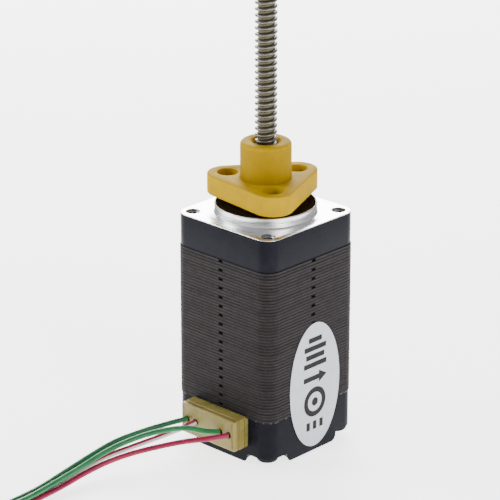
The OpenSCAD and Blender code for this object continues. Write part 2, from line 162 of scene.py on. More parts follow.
class Nodes:
    """A material's node tree, with short calls for the few nodes used here."""

    def __init__(self, name, colour, roughness, metallic=0.0):
        self.material = bpy.data.materials.new(name)
        self.material.use_nodes = True
        self.tree = self.material.node_tree
        self.shader = self.tree.nodes["Principled BSDF"]
        self.set(Base_Color=(*colour, 1.0), Roughness=roughness, Metallic=metallic)
        self.place = self.node("TexCoord").outputs["Object"]

    def node(self, kind):
        return self.tree.nodes.new("ShaderNode" + kind)

    def link(self, output, socket):
        self.tree.links.new(output, socket)

    def set(self, **values):
        """Sets the shader's own sockets: a name's underscores stand for spaces."""
        for name, value in values.items():
            self.shader.inputs[name.replace("_", " ")].default_value = value

    def scaled(self, scale):
        """The object's coordinates, multiplied along each axis."""
        mapping = self.node("Mapping")
        mapping.inputs["Scale"].default_value = scale
        self.link(self.place, mapping.inputs["Vector"])
        return mapping.outputs["Vector"]

    def noise(self, scale, detail=4.0, rough=0.6, vector=None):
        """Fractal noise, with scale in features per metre."""
        node = self.node("TexNoise")
        node.inputs["Scale"].default_value = scale
        node.inputs["Detail"].default_value = detail
        node.inputs["Roughness"].default_value = rough
        self.link(vector or self.place, node.inputs["Vector"])
        return node.outputs["Fac"]

    def radius(self):
        """The distance from the Z axis."""
        length = self.node("VectorMath")
        length.operation = "LENGTH"
        self.link(self.scaled((1.0, 1.0, 0.0)), length.inputs[0])
        return length.outputs["Value"]

    def height(self):
        """The Z coordinate."""
        split = self.node("SeparateXYZ")
        self.link(self.place, split.inputs[0])
        return split.outputs["Z"]

    def math(self, operation, first, second=0.0):
        """One Math node, on outputs or plain numbers."""
        node = self.node("Math")
        node.operation = operation
        for socket, value in zip(node.inputs, (first, second)):
            if isinstance(value, (int, float)):
                socket.default_value = value
            else:
                self.link(value, socket)
        return node.outputs[0]

    def spread(self, value, low, high, to_low=0.0, to_high=1.0):
        """value moved from low..high to to_low..to_high, clamped."""
        node = self.node("MapRange")
        for name, number in (("From Min", low), ("From Max", high), ("To Min", to_low), ("To Max", to_high)):
            node.inputs[name].default_value = number
        self.link(value, node.inputs["Value"])
        return node.outputs["Result"]

    def mix(self, factor, first, second):
        """A colour between first and second, each a colour or an output."""
        node = self.node("Mix")
        node.data_type = "RGBA"
        self.link(factor, node.inputs["Factor"])
        for socket, value in ((node.inputs[6], first), (node.inputs[7], second)):
            if isinstance(value, tuple):
                socket.default_value = (*value, 1.0)
            else:
                self.link(value, socket)
        return node.outputs[2]

    def bands(self, scale, detail=3.0, rough=0.6):
        """Noise that changes only with the distance from Z and with height, as a lathe's marks do."""
        join = self.node("CombineXYZ")
        self.link(self.math("MULTIPLY", self.radius(), scale), join.inputs["X"])
        self.link(self.math("MULTIPLY", self.height(), scale), join.inputs["Y"])
        return self.noise(1.0, detail, rough, join.outputs[0])

    def colour(self, output):
        self.link(output, self.shader.inputs["Base Color"])

    def tones(self, driver, first, second, low=0.3, high=0.7):
        """The base colour goes from first to second as driver goes from low to high."""
        self.colour(self.mix(self.spread(driver, low, high), first, second))

    def roughness(self, driver, first, second, low=0.3, high=0.7):
        """The roughness goes from first to second as driver goes from low to high."""
        self.link(self.spread(driver, low, high, first, second), self.shader.inputs["Roughness"])

    def bump(self, output, distance, strength=1.0):
        """Bump from output, whose full range is distance metres deep."""
        node = self.node("Bump")
        node.inputs["Strength"].default_value = strength
        node.inputs["Distance"].default_value = distance
        self.link(output, node.inputs["Height"])
        previous = self.shader.inputs["Normal"]
        if previous.is_linked:
            self.link(previous.links[0].from_socket, node.inputs["Normal"])
        self.link(node.outputs["Normal"], previous)

    def turned(self, amount):
        """Stretches highlights round the Z axis, as a lathe's marks do."""
        tangent = self.node("Tangent")
        tangent.direction_type = "RADIAL"
        tangent.axis = "Z"
        self.shader.inputs["Anisotropic"].default_value = amount
        self.link(tangent.outputs["Tangent"], self.shader.inputs["Tangent"])


# ---- materials


def floor_material():
    m = Nodes("floor_white", (0.9, 0.9, 0.9), 0.9)
    m.set(Emission_Color=(1.0, 1.0, 1.0, 1.0), Emission_Strength=2.6, Specular_IOR_Level=0.1)
    m.colour(m.mix(m.noise(60), (0.9, 0.9, 0.905), (0.93, 0.93, 0.93)))
    return m.material


def paint_material():
    """Satin black paint with a bluish cast, a fine orange peel and a painted highlight along the rear cap's
    rounded top edge.
    """
    m = Nodes("black_paint", (0.006, 0.006, 0.009), 0.42)
    m.set(Specular_IOR_Level=0.05)
    patch = m.noise(420)
    grain = m.noise(9000, 3.0)
    tone = m.mix(m.spread(patch, 0.35, 0.7), (0.0042, 0.0042, 0.0068), (0.008, 0.008, 0.0125))
    speck = m.spread(m.noise(5200, 2.0), 0.68, 0.8)
    painted = m.mix(speck, tone, (0.035, 0.035, 0.042))
    # Painted highlight: a lighter line, broken up by noise, along the rear cap's rounded top edge where it
    # meets the stack.
    seam = m.math("ABSOLUTE", m.math("SUBTRACT", m.height(), (STACK_Z - 0.04) * MM))
    rim_highlight_noise = m.spread(m.noise(900, 3.0), 0.5, 0.6)
    rim_highlight_mask = m.math("MULTIPLY", m.spread(seam, 0.05 * MM, 0.09 * MM, 1.0, 0.0), rim_highlight_noise)
    m.colour(m.mix(rim_highlight_mask, painted, (0.22, 0.21, 0.19)))
    m.roughness(patch, 0.36, 0.52)
    m.bump(grain, 0.012 * MM, 0.6)
    return m.material


def lamination_material():
    """Brownish black laminations: each sheet has its own tone, with fine rolling marks and a painted
    highlight along its lower edge.
    """
    m = Nodes("laminations", (0.018, 0.014, 0.014), 0.5)
    m.set(Specular_IOR_Level=0.05)
    sheet = m.math("FLOOR", m.math("DIVIDE", m.height(), LAMINATION * MM))
    cell = m.node("TexWhiteNoise")
    cell.noise_dimensions = "1D"
    m.link(sheet, cell.inputs["W"])
    streak = m.noise(1500, 5.0, 0.7, m.scaled((1.0, 1.0, 6.0)))
    base = m.mix(cell.outputs["Value"], (0.0075, 0.0065, 0.0072), (0.0145, 0.0125, 0.0135))
    brown = m.mix(m.spread(streak, 0.45, 0.75), base, (0.023, 0.0178, 0.0168))
    # Painted highlight: a lighter, patchy line along the lower edge of each sheet stands in for glints on
    # the sheet edges.
    edge = m.math("LESS_THAN", m.math("FRACT", m.math("DIVIDE", m.height(), LAMINATION * MM)), 0.26)
    painted_glint_mask = m.math("MULTIPLY", edge, m.spread(m.noise(700), 0.3, 0.65, 0.1, 0.6))
    lit = m.mix(painted_glint_mask, brown, (0.044, 0.040, 0.040))
    speck = m.spread(m.noise(6500, 2.0), 0.66, 0.8)
    m.colour(m.mix(speck, lit, (0.06, 0.053, 0.05)))
    m.roughness(streak, 0.4, 0.6)
    m.bump(m.noise(7000, 3.0), 0.012 * MM, 0.6)
    return m.material


def machined_material():
    """Bright face-turned aluminium."""
    m = Nodes("machined_aluminium", (0.9, 0.9, 0.9), 0.24, 1.0)
    m.turned(0.55)
    band = m.bands(2600)
    m.tones(band, (0.60, 0.60, 0.615), (0.80, 0.80, 0.81), 0.35)
    m.roughness(band, 0.2, 0.36)
    m.bump(band, 0.01 * MM, 0.7)
    m.bump(m.noise(9000, 2.0, 0.5), 0.002 * MM, 0.4)
    return m.material


def pilot_top_material():
    """The dark disc inside the pilot's rim, with a faint brown tint that is a painted reflection of the
    yellow nut.
    """
    m = Nodes("pilot_disc", (0.03, 0.022, 0.014), 0.6)
    m.set(Specular_IOR_Level=0.0)
    band = m.bands(1800)
    # The brown tones are a painted reflection of the nut on the dark disc.
    m.tones(band, (0.011, 0.0068, 0.0032), (0.024, 0.015, 0.0075), 0.35)
    m.roughness(m.noise(3000), 0.55, 0.7)
    m.bump(band, 0.006 * MM, 0.6)
    return m.material


def screw_material():
    """Rolled stainless: bright crests, with painted shade, dull olive-brown, in the thread valleys."""
    m = Nodes("rolled_stainless", (0.6, 0.57, 0.5), 0.22, 0.8)
    m.set(Specular_IOR_Level=0.1)
    m.turned(0.4)
    deep = m.spread(m.radius(), (SCREW_R - THREAD_DEPTH) * MM, (SCREW_R - 0.08) * MM)
    # Painted shade: the thread valleys take a darker, olive-brown colour than the crests.
    valley_shade_noise = m.noise(1400, 4.0)
    valley_shade = m.mix(valley_shade_noise, (0.062, 0.053, 0.029), (0.098, 0.086, 0.052))
    threaded = m.math("MULTIPLY", m.spread(m.height(), PILOT_TOP * MM, (PILOT_TOP + 1) * MM),
                      m.spread(m.height(), (SCREW_TOP - 0.5) * MM, (SCREW_TOP - 0.3) * MM, 1.0, 0.0))
    m.colour(m.mix(threaded, (0.20, 0.19, 0.17), m.mix(deep, valley_shade, (0.125, 0.117, 0.104))))
    m.roughness(deep, 0.5, 0.3, 0.0, 1.0)
    m.bump(m.noise(5000, 3.0, 0.6, m.scaled((1, 1, 4))), 0.006 * MM, 0.5)
    return m.material


def nut_material():
    """Yellow acetal, slightly cloudy, with faint turning marks on the barrel and painted shade darkening the
    barrel's side.
    """
    m = Nodes("yellow_acetal", (0.27, 0.14, 0.001), 0.36)
    m.set(Subsurface_Weight=0.1, Subsurface_Scale=0.6 * MM, Specular_IOR_Level=0.04)
    cloud = m.noise(380, 4.0)
    fine = m.noise(5200, 3.0)
    tone = m.mix(m.spread(cloud, 0.3, 0.7), (0.315, 0.188, 0.0001), (0.39, 0.242, 0.0002))
    # Painted shade: the barrel's side takes a darker copy of the yellow, while its top keeps the flange's
    # lighter, lit tone.
    shaded_barrel_mask = m.math("MULTIPLY", m.spread(m.radius(), 4.1 * MM, 4.3 * MM, 1.0, 0.0),
                       m.spread(m.height(), (NUT_TOP - 0.7) * MM, (NUT_TOP - 0.2) * MM, 1.0, 0.0))
    flange = m.mix(m.spread(fine, 0.55, 0.85), tone, (0.44, 0.28, 0.001))
    m.colour(m.mix(shaded_barrel_mask, flange, m.mix(cloud, (0.215, 0.127, 0.0002), (0.28, 0.170, 0.0004))))
    m.roughness(fine, 0.62, 0.75)
    m.bump(m.bands(4200, 2.0, 0.5), 0.006 * MM, 0.5)
    m.bump(fine, 0.008 * MM, 0.4)
    return m.material


def connector_material(name, low, high):
    """Natural, slightly milky nylon, with clouding and sink marks."""
    m = Nodes(name, high, 0.3)
    m.set(Subsurface_Weight=0.45, Subsurface_Scale=1.2 * MM, Specular_IOR_Level=0.25)
    cloud = m.noise(260, 3.0, 0.5)
    m.tones(cloud, low, high, 0.25, 0.75)
    m.roughness(m.noise(2600), 0.24, 0.4)
    m.bump(m.noise(900, 2.0), 0.012 * MM, 0.4)
    return m.material


def insulation_material(name, low, high):
    """Extruded lead insulation: an even colour with small drifts along its length."""
    m = Nodes(name, high, 0.34)
    m.set(Subsurface_Weight=0.08, Subsurface_Scale=0.3 * MM, Specular_IOR_Level=0.22)
    drift = m.noise(300, 3.0)
    m.tones(drift, low, high)
    m.roughness(m.noise(4200), 0.28, 0.42)
    m.bump(m.noise(6000, 2.0), 0.006 * MM, 0.5)
    return m.material


def plain_material(name, low, high, rough, metallic=0.0, scale=1800, gloss=0.5):
    """A material that drifts between two tones, with a matching fine bump."""
    m = Nodes(name, high, rough[1], metallic)
    m.set(Specular_IOR_Level=gloss)
    drift = m.noise(scale, 4.0)
    m.tones(drift, low, high)
    m.roughness(drift, *rough)
    m.bump(m.noise(scale * 3, 3.0), 0.006 * MM, 0.5)
    return m.material


def turned_metal(name, low, high, rough):
    """Metal with lathe or grinding marks round the axis."""
    m = Nodes(name, high, rough[1], 1.0)
    m.turned(0.35)
    band = m.bands(3200)
    m.tones(band, low, high)
    m.roughness(band, *rough)
    m.bump(band, 0.004 * MM, 0.5)
    return m.material


def winding_material():
    """Enamelled copper wire, with each turn standing round and painted shade in the creases between turns.
    """
    m = Nodes("enamelled_copper", (0.5, 0.2, 0.06), 0.25, 0.9)
    turn = m.math("FRACT", m.math("DIVIDE", m.radius(), 0.24 * MM))
    crown = m.math("SINE", m.math("MULTIPLY", turn, math.pi))
    tone = m.mix(m.spread(m.noise(1200), 0.3, 0.7), (0.42, 0.15, 0.045), (0.60, 0.27, 0.10))
    # Painted shade: the colour darkens towards the creases between turns.
    m.colour(m.mix(crown, (0.16, 0.05, 0.015), tone))
    m.roughness(crown, 0.5, 0.22, 0.0, 1.0)
    m.bump(crown, 0.1 * MM)
    return m.material


PAINT = paint_material()
LAMINATIONS = lamination_material()
MACHINED = machined_material()
PILOT_DISC = pilot_top_material()
ROLLED = screw_material()
ACETAL = nut_material()
HEADER_NYLON = connector_material("header_nylon", (0.150, 0.126, 0.028), (0.245, 0.205, 0.060))
PLUG_NYLON = connector_material("plug_nylon", (0.150, 0.122, 0.028), (0.245, 0.203, 0.058))
BLACK_OXIDE = plain_material("black_oxide", (0.006, 0.006, 0.007), (0.014, 0.014, 0.016),
                             (0.32, 0.46), gloss=0.06)
GREEN = insulation_material("green_insulation", (0.008, 0.085, 0.026), (0.014, 0.125, 0.040))
GREEN_LIGHT = insulation_material("light_green_insulation", (0.012, 0.125, 0.040), (0.020, 0.165, 0.058))
RED = insulation_material("red_insulation", (0.17, 0.006, 0.030), (0.235, 0.011, 0.045))
ROSE = insulation_material("rose_insulation", (0.22, 0.012, 0.035), (0.30, 0.022, 0.055))
WHITE_STRIPE = insulation_material("white_stripe", (0.34, 0.32, 0.31), (0.44, 0.42, 0.40))
TINNED = plain_material("tinned_strands", (0.62, 0.61, 0.58), (0.82, 0.81, 0.78), (0.2, 0.34), 1.0)
TIE = plain_material("tie_nylon", (0.012, 0.012, 0.013), (0.026, 0.026, 0.028),
                     (0.4, 0.55), scale=900, gloss=0.15)
LABEL_PAPER = plain_material("label_paper", (0.40, 0.42, 0.445), (0.45, 0.475, 0.50),
                             (0.36, 0.46), scale=700, gloss=0.15)
LABEL_INK = plain_material("label_ink", (0.010, 0.0085, 0.0088), (0.019, 0.017, 0.0175),
                           (0.4, 0.5), scale=2200, gloss=0.05)
TAPPED = turned_metal("tapped_aluminium", (0.16, 0.16, 0.165), (0.34, 0.34, 0.35), (0.3, 0.45))

# ---- mesh helpers


def new_object(name, data, materials=()):
    """A linked object of a mesh, light or camera, with its materials."""
    made = bpy.data.objects.new(name, data)
    bpy.context.collection.objects.link(made)
    for material in materials:
        data.materials.append(material)
    return made


def finish_mesh(name, verts, faces, materials, smooth=35):
    """A new object from points in millimetres."""
    mesh = bpy.data.meshes.new(name)
    mesh.from_pydata([Vector(v) * MM for v in verts], [], faces)
    made = new_object(name, mesh, materials)
    tidy(made, smooth)
    return made


def tidy(made, smooth):
    """Merges doubled points, points every face outwards and smooths below an angle."""
    mesh = made.data
    bm = bmesh.new()
    bm.from_mesh(mesh)
    bmesh.ops.remove_doubles(bm, verts=bm.verts, dist=0.0005 * MM)
    bmesh.ops.recalc_face_normals(bm, faces=bm.faces)
    bm.to_mesh(mesh)
    bm.free()
    mesh.shade_smooth()
    mesh.set_sharp_from_angle(angle=math.radians(smooth))


def loft(loops, close=True):
    """(points, faces) of a skin through equal loops, capped at both ends."""
    count = len(loops[0])
    verts = [p for loop in loops for p in loop]
    faces = []
    for i in range(len(loops) - 1):
        for k in range(count):
            n = (k + 1) % count
            faces.append((i * count + k, i * count + n, (i + 1) * count + n, (i + 1) * count + k))
    if close:
        faces.append(tuple(reversed(range(count))))
        last = (len(loops) - 1) * count
        faces.append(tuple(range(last, last + count)))
    return verts, faces


def circle(r, steps, centre=(0.0, 0.0)):
    """Points round a circle, anticlockwise."""
    angles = [2 * math.pi * k / steps for k in range(steps)]
    return [(centre[0] + r * math.cos(a), centre[1] + r * math.sin(a)) for a in angles]


def joined(parts):
    """(points, faces) of several parts as one."""
    verts = []
    faces = []
    for points, skin in parts:
        faces += [tuple(len(verts) + i for i in face) for face in skin]
        verts += points
    return verts, faces


def ring(r, z, steps, centre=(0.0, 0.0)):
    """A level circle of points."""
    return [(x, y, z) for x, y in circle(r, steps, centre)]


def turned_solid(name, profile, materials, steps, centre=(0.0, 0.0), smooth=35):
    """A solid turned round a vertical axis, whose profile starts and ends off the axis."""
    return finish_mesh(name, *loft([ring(r, z, steps, centre) for r, z in profile]), materials, smooth)


def arc(cx, cy, r, start, end, steps=8):
    """Points on an arc, with its angles in degrees."""
    points = []
    for k in range(steps + 1):
        a = math.radians(start + (end - start) * k / steps)
        points.append((cx + r * math.cos(a), cy + r * math.sin(a)))
    return points


def rounded_rectangle(w, h, r, steps=8, middle=0.0):
    """An upright outline with round corners, anticlockwise, whose centre is at (0, middle)."""
    outline = []
    for k, (x, y) in enumerate(((1, 1), (-1, 1), (-1, -1), (1, -1))):
        outline += arc(x * (w / 2 - r), middle + y * (h / 2 - r), r, 90 * k, 90 * k + 90, steps)
    return outline


def quarter(edge, steps=3):
    """(inset, rise) from the foot to the side of an edge rounded by edge."""
    angles = [math.radians(90 * k / steps) for k in range(steps + 1)]
    return [(edge * (1 - math.sin(a)), edge * (1 - math.cos(a))) for a in angles]


def edged_solid(outline, z0, z1, low_edge, high_edge):
    """(points, faces) of an upright solid with rounded edges. outline(inset) gives its points."""
    levels = [(inset, z0 + rise) for inset, rise in quarter(low_edge)]
    levels += [(inset, z1 - rise) for inset, rise in reversed(quarter(high_edge))]
    return loft([[(x, y, z) for x, y in outline(inset)] for inset, z in levels])


def rounded_box(name, low, high, r, materials, steps=3):
    """A box with its edges rounded by r, made by a bevel on a cube."""
    bm = bmesh.new()
    bmesh.ops.create_cube(bm, size=1.0)
    size = [high[i] - low[i] for i in range(3)]
    middle = [(high[i] + low[i]) / 2 for i in range(3)]
    for v in bm.verts:
        v.co = Vector([v.co[i] * size[i] + middle[i] for i in range(3)]) * MM
    bmesh.ops.bevel(bm, geom=bm.edges[:], offset=r * MM, segments=steps, profile=0.5, affect="EDGES")
    mesh = bpy.data.meshes.new(name)
    bm.to_mesh(mesh)
    bm.free()
    made = new_object(name, mesh, materials)
    mesh.shade_smooth()
    mesh.set_sharp_from_angle(angle=math.radians(50))
    return made


def combine(target, tools, operation):
    """Applies booleans of target with each tool, at a scale of millimetres, and removes the tools."""
    up = Matrix.Scale(1 / MM, 4)
    target.data.transform(up)
    for tool in tools:
        tool.data.transform(up)
        modifier = target.modifiers.new("cut", "BOOLEAN")
        modifier.operation = operation
        modifier.object = tool
        modifier.solver = "EXACT"
        depsgraph = bpy.context.evaluated_depsgraph_get()
        mesh = bpy.data.meshes.new_from_object(target.evaluated_get(depsgraph))
        target.modifiers.clear()
        target.data = mesh
        bpy.data.objects.remove(tool)
    target.data.transform(Matrix.Scale(MM, 4))


def cut(target, tools, smooth=35):
    """Subtracts the tools from target and smooths it again."""
    combine(target, tools, "DIFFERENCE")
    tidy(target, smooth)


def tool_lathe(profile, steps=64, centre=(0.0, 0.0)):
    """A turned cutter."""
    return turned_solid("tool", profile, [], steps, centre)


def place(piece, body, *replaced, slot=None):
    """Rides a piece on its body and hides the CAD nodes it stands for."""
    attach(piece, body)
    if replaced:
        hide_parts(*replaced)


# ---- leads

PLUG_FRONT = span("plug_housing", 1)[0]
LEAD_LENGTH = 300.0
TIP = 3.5
COIL_X, COIL_Y = [sum(span("lead_coil", axis)) / 2 for axis in (0, 1)]
COIL_LIFT = 0.25
COIL_RADII = (13.5, 11.7, 12.6)
LAYER = 1.76
BUNDLE_X = -8.65
ROUTES = {
    "lead_green": [
        (-4.5, PLUG_FRONT, 5.5), (-5.8, -16.6, 5.3), (-7.4, -20.5, 4.8), (-8.8, -25, 4.1),
        (-9.2, -30, 3.2), (-9.3, -35, 2.3), (-9.2, -40, 1.6), (-9.1, -45, 1.4), (-9.1, -53.5, 1.4)],
    "lead_red_white": [
        (-2.7, PLUG_FRONT, 5.5), (-3.6, -15.8, 4.9), (-5.2, -18.8, 4), (-6.9, -23, 3.2), (-8.2, -27, 2.6),
        (-8.8, -31, 1.9), (-9, -36, 1.1), (-9.1, -41, 0.5), (-9.1, -46, 0.5), (-9.1, -53.5, 0.5)],
    "lead_green_white": [
        (2.7, PLUG_FRONT, 5.5), (1, -14.9, 5.7), (-1.3, -16, 5.8), (-3.3, -17.6, 5.6), (-5.4, -20.4, 5.1),
        (-7, -24, 4.4), (-7.8, -28, 3.7), (-8.1, -33, 2.7), (-8.3, -38, 1.9), (-8.2, -44, 1.4),
        (-8.2, -53.5, 1.4)],
    "lead_red": [
        (4.5, PLUG_FRONT, 5.5), (2.7, -16, 5.3), (0, -18.6, 4.8), (-2.6, -21.6, 4.1), (-4.9, -25, 3.4),
        (-6.6, -28.6, 2.6), (-7.6, -32.6, 1.7), (-8, -37, 0.9), (-8.2, -42, 0.5), (-8.2, -46, 0.5),
        (-8.2, -53.5, 0.5)],
}


def smooth_route(route, steps=10):
    """Points on the smooth curve through a route's points, as in the CAD model."""
    points = []
    last = len(route) - 1
    p = [Vector(q) for q in route]
    for i in range(last):
        before = p[max(i - 1, 0)]
        after = p[min(i + 2, last)]
        for k in range(steps):
            u = k / steps
            points.append(0.5 * (2 * p[i] + (p[i + 1] - before) * u
                                 + (2 * before - 5 * p[i] + 4 * p[i + 1] - after) * u * u
                                 + (3 * p[i] - before - 3 * p[i + 1] + after) * u ** 3))
    points.append(p[last])
    return points


def ease(value, start, end):
    """0 before start, 1 after end and a smooth step between."""
    t = min(max((value - start) / (end - start), 0.0), 1.0)
    return t * t * (3 - 2 * t)


def lead_path(name):
    """A lead's whole centreline: its seen stretch, three turns of the coil and a short tail.

    The coil's first turn is the outer one, the second the inner one and the third lies on top.
    """
    outer, inner, top = COIL_RADII
    points = smooth_route(ROUTES[name])
    end = points[-1]
    across = end.x - BUNDLE_X
    low = end.z
    join = int(abs(end.y - COIL_Y) / 0.5)
    for k in range(1, join):
        t = k / join
        points.append(Vector((end.x, end.y + (COIL_Y - end.y) * t, low + COIL_LIFT * ease(t, 0, 1))))
    steps = 72
    for k in range(int(2.93 * steps)):
        turn = k / steps
        radius = outer + (inner - outer) * ease(turn, 0.76, 0.98) + (top - inner) * ease(turn, 1.66, 1.8)
        a = math.pi + 2 * math.pi * turn
        r = radius - across
        z = low + COIL_LIFT + ease(turn, 1.5, 1.7) * LAYER
        points.append(Vector((COIL_X + r * math.cos(a), COIL_Y + r * math.sin(a), z)))
    return with_tail(points, across, low)


def with_tail(points, across, low):
    """Adds the free end, which leaves the coil inwards and drops to the surface."""
    length = sum((b - a).length for a, b in zip(points, points[1:]))
    tail = LEAD_LENGTH - TIP - length
    step = 0.5
    at = points[-1].copy()
    heading = (points[-1] - points[-2]).normalized()
    angle = math.atan2(heading.y, heading.x)
    rest_z = LEAD_D / 2 + 0.02
    top_z = at.z
    count = int(tail / step)
    for k in range(1, count + 1):
        t = k / count
        angle += math.radians((3.4 + across * 1.8) * (1 - t) + 1.2)
        at = at + Vector((math.cos(angle), math.sin(angle), 0)) * step
        at.z = top_z + (rest_z - top_z) * ease(t, 0.12, 0.85)
        points.append(at.copy())
    return points


def tube(name, points, r, materials, sides=20, stripe=()):
    """A round tube through points. Sides in stripe take the second material."""
    loops = []
    side = Vector((1, 0, 0))
    for i, p in enumerate(points):
        along = (points[min(i + 1, len(points) - 1)] - points[max(i - 1, 0)]).normalized()
        side = (side - along * side.dot(along)).normalized()
        up = along.cross(side)
        loops.append([p + x * side + y * up for x, y in circle(r, sides)])
    verts, faces = loft(loops)
    made = finish_mesh(name, verts, faces, materials)
    if stripe:
        body_faces = (len(loops) - 1) * sides
        for face in made.data.polygons:
            if face.index < body_faces and face.index % sides in stripe:
                face.material_index = 1
    return made


def strands(name, points, count=7):
    """The stripped, tinned end of a lead: a straight strand with six twisted round it."""
    strand_r = 0.085
    root = 0.3
    start = points[-1]
    along = (points[-1] - points[-3]).normalized()
    side = along.cross(Vector((0, 0, 1))).normalized()
    up = side.cross(along)
    parts = []
    for s in range(count):
        ring = 0.0 if s == 0 else 2 * strand_r
        line = []
        for k in range(10):
            t = k / 9
            a = 2 * math.pi * (s / (count - 1) + 0.55 * t)
            line.append(start - along * root + along * (TIP + root) * t
                        + ring * (math.cos(a) * side + math.sin(a) * up))
        parts.append(loft([[p + x * side + y * up for x, y in circle(strand_r, 6)] for p in line]))
    return finish_mesh(name, *joined(parts), [TINNED])


def add_leads():
    """The four leads with their tips, each built to its full length."""
    looks = {
        "green": ([GREEN], ()),
        "red_white": ([ROSE, WHITE_STRIPE], (18, 19, 0, 1)),
        "green_white": ([GREEN_LIGHT, WHITE_STRIPE], (7, 8)),
        "red": ([RED], ()),
    }
    for colour, (materials, stripe) in looks.items():
        name = "lead_" + colour
        points = lead_path(name)
        piece = tube(name + "_wire", points, LEAD_D / 2, materials, stripe=stripe)
        tip = strands(name + "_tip", points)
        place(piece, "motor", name, "lead_coil", slot=colour + "_pvc")
        place(tip, "motor", slot="crimp_tin")


def add_tie():
    """A thin band round the coil."""
    width = 2.6
    half_w = 2.12
    low = 0.02
    high = span("coil_tie", 2)[1] - 0.01
    thickness = 0.16
    middle = (high + low) / 2
    half_h = (high - low) / 2
    outline = rounded_rectangle(2 * half_w, 2 * half_h, 0.8, 8, middle)
    scale_x = 1 - thickness / half_w
    scale_z = 1 - thickness / half_h
    inner = [(x * scale_x, middle + (z - middle) * scale_z) for x, z in outline]
    x0 = COIL_X + sum(COIL_RADII[:2]) / 2
    loops = []
    for points, y in ((outline, -width / 2), (outline, width / 2), (inner, width / 2), (inner, -width / 2)):
        loops.append([(x0 + x, COIL_Y + y, z) for x, z in points])
    band = finish_mesh("coil_band", *loft(loops + [loops[0]], close=False), [TIE], 40)
    place(band, "motor", "coil_tie", slot="tie_plastic")


# ---- lamination stack


def stack_outline(grow, notch):
    """The stack's square outline with an index notch in the middle of each side."""
    outline = []
    h = BODY_W / 2 + grow
    r = CORNER_R + grow
    half = 0.45
    for k in range(4):
        a = math.radians(90 * k)
        side = [(h, -half), (h - notch, -half), (h - notch, half), (h, half)]
        side += [(h, 3.0), (h, 5.5)] + arc(h - r, h - r, r, 0, 90, 8)
        side += [(5.5, h), (3.0, h)]
        outline += [(x * math.cos(a) - y * math.sin(a), x * math.sin(a) + y * math.cos(a)) for x, y in side]
    return outline


def slot_outline():
    """The bore with its eight winding slots, as one outline."""
    bore = 5.2
    shoe = 6.2
    slot = 8.6
    half_mouth = 0.5
    half_pole = 0.95
    outline = []

    def half_angle(half, r):
        return math.degrees(math.asin(half / r))

    mouth = half_angle(half_mouth, bore)
    mouth_out = half_angle(half_mouth, shoe)
    wall_in = 22.5 - half_angle(half_pole, shoe)
    wall_out = 22.5 - half_angle(half_pole, slot)
    for k in range(8):
        centre = 45 * k + 22.5
        outline += arc(0, 0, bore, centre - 45 + mouth, centre - mouth, 8)
        outline += arc(0, 0, shoe, centre - mouth_out, centre - wall_in, 3)
        outline += arc(0, 0, slot, centre - wall_out, centre + wall_out, 8)
        outline += arc(0, 0, shoe, centre + wall_in, centre + mouth_out, 3)
    return outline


def add_stack():
    """Fifty laminations with a fine seam between each pair, and a notch in every third."""
    spread = random.Random(7)
    loops = []
    sheets = round((STACK_TOP - STACK_Z) / LAMINATION)
    seam = 0.045
    edge = 0.05
    for k in range(sheets):
        z = STACK_TOP - (k + 1) * LAMINATION
        grow = spread.uniform(-0.022, 0.0)
        notch = 0.35 if k % 3 == 0 else 0.0
        rows = [(z, grow - seam, 0.0), (z + edge, grow, 0.0)]
        if notch:
            rows += [(z + edge, grow, notch), (z + LAMINATION - edge, grow, notch)]
        rows += [(z + LAMINATION - edge, grow, 0.0), (z + LAMINATION, grow - seam, 0.0)]
        for level, g, n in reversed(rows):
            loops.append([(x, y, level) for x, y in stack_outline(g, n)])
    slots = [[(x, y, z) for x, y in slot_outline()] for z in (STACK_TOP, STACK_Z)]
    parts = [loft(loops, close=False), loft(slots, close=False)]
    for outer, inner in ((loops[0], slots[0]), (loops[-1], slots[1])):
        rings = [[Vector(p) for p in ring] for ring in (outer, inner)]
        parts.append((rings[0] + rings[1], tessellate_polygon(rings)))
    stack = finish_mesh("lamination_stack", *joined(parts), [LAMINATIONS], 30)
    cut(stack, corner_tools([(BODY_SCREW_HOLE_R, STACK_Z - 1), (BODY_SCREW_HOLE_R, STACK_TOP + 1)], 24), 30)
    place(stack, "motor", "stator_stack", slot="laminations")


# ---- end caps and body screws


def cap_shell(name, z0, z1, low_edge, high_edge, materials):
    """A square cap with softened edges at its bottom and top."""
    def outline(inset):
        width = CAP_W - 2 * inset
        return rounded_rectangle(width, width, CORNER_R - inset, 10)

    return finish_mesh(name, *edged_solid(outline, z0, z1, low_edge, high_edge), materials)


def corner_tools(profile, steps=40):
    """The same turned cutter at each of the four screw corners."""
    return [tool_lathe(profile, steps, (x * HOLE_XY, y * HOLE_XY)) for x in (-1, 1) for y in (-1, 1)]


def cavity_tool(z0, z1):
    """The ring of space for the windings inside a cap, as a cutter."""
    profile = [(HUB_R, z0), (CAVITY_R, z0), (CAVITY_R, z1), (HUB_R, z1), (HUB_R, z0)]
    return finish_mesh("tool", *loft([ring(r, z, 64) for r, z in profile], close=False), [])


